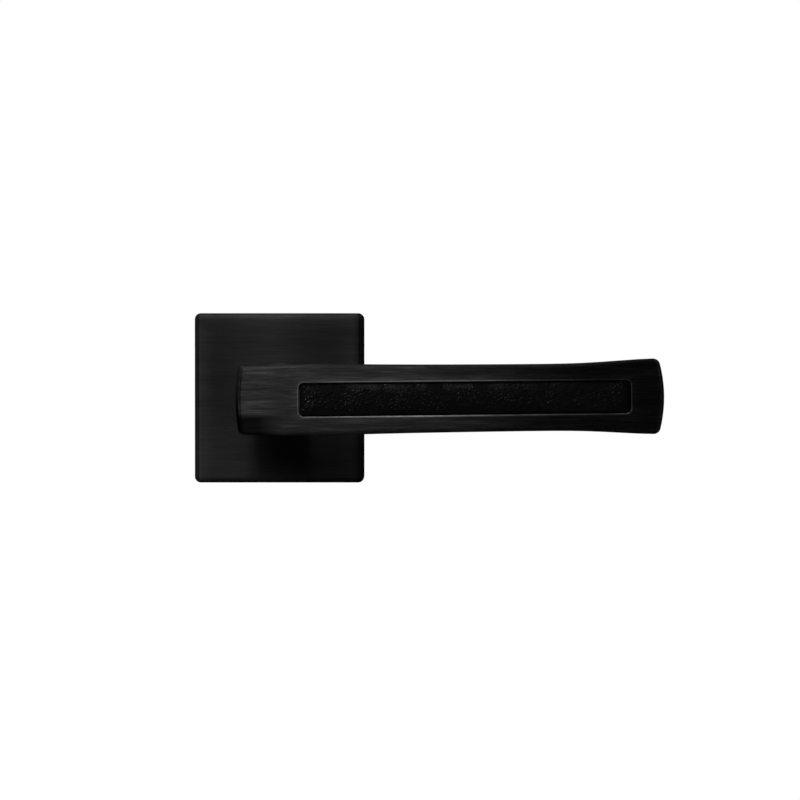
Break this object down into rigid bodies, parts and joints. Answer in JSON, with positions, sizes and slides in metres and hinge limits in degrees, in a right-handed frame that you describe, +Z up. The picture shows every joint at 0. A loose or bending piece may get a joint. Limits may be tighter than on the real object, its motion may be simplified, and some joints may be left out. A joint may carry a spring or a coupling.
{
  "type": "door lever handle",
  "caption": "Straight flared door lever on a square rose with a clip-on cover, with a pebbled leather inlay along the grip.",
  "frame": {"origin": "on the spindle axis, in the plane of the door's face", "axes": "+X along the grip to its tip, +Y into the door along the spindle, +Z up"},
  "size_m": [0.141, 0.1304, 0.052],
  "materials": {
    "black_lever": "satin",
    "black_rose": "satin",
    "leather": "satin",
    "backing_board": "matte",
    "adhesive": "satin",
    "zinc_plated_steel": "satin",
    "black_screw": "satin",
    "spring_steel": "satin",
    "nylon": "matte",
    "zinc_casting": "matte",
    "bolt_steel": "satin"
  },
  "bodies": {
    "rosette": {"rose_base": "zinc_casting", "neck_bush": "nylon", "return_spring": "spring_steel", "cover_clip_right": "spring_steel", "cover_clip_top": "spring_steel", "cover_clip_left": "spring_steel", "cover_clip_bottom": "spring_steel", "through_bolt_left": "bolt_steel", "through_bolt_right": "bolt_steel", "support_post_left": "bolt_steel", "support_post_right": "bolt_steel"},
    "lever": {"lever_handle": "black_lever", "leather_inlay": "leather", "inlay_backing": "backing_board", "inlay_adhesive": "adhesive", "spindle": "zinc_plated_steel", "grub_screw": "black_screw", "spring_driver": "zinc_plated_steel", "thrust_washer": "spring_steel", "circlip": "black_screw"},
    "cover": {"rose_cover": "black_rose", "cover_liner_ring": "nylon"}
  },
  "joints": [
    {"name": "lever_turn", "type": "hinge", "parent": "rosette", "child": "lever", "pos_m": [0, 0, 0], "axis": [0, 1, 0], "range_deg": [0, 45], "stiffness_Nm_per_rad": 0.8, "springref_deg": -34.38, "deforming": ["return_spring"]},
    {"name": "cover_slide", "type": "slide", "parent": "rosette", "child": "cover", "axis": [0, -1, 0], "range_m": [0, 0.018]}
  ]
}
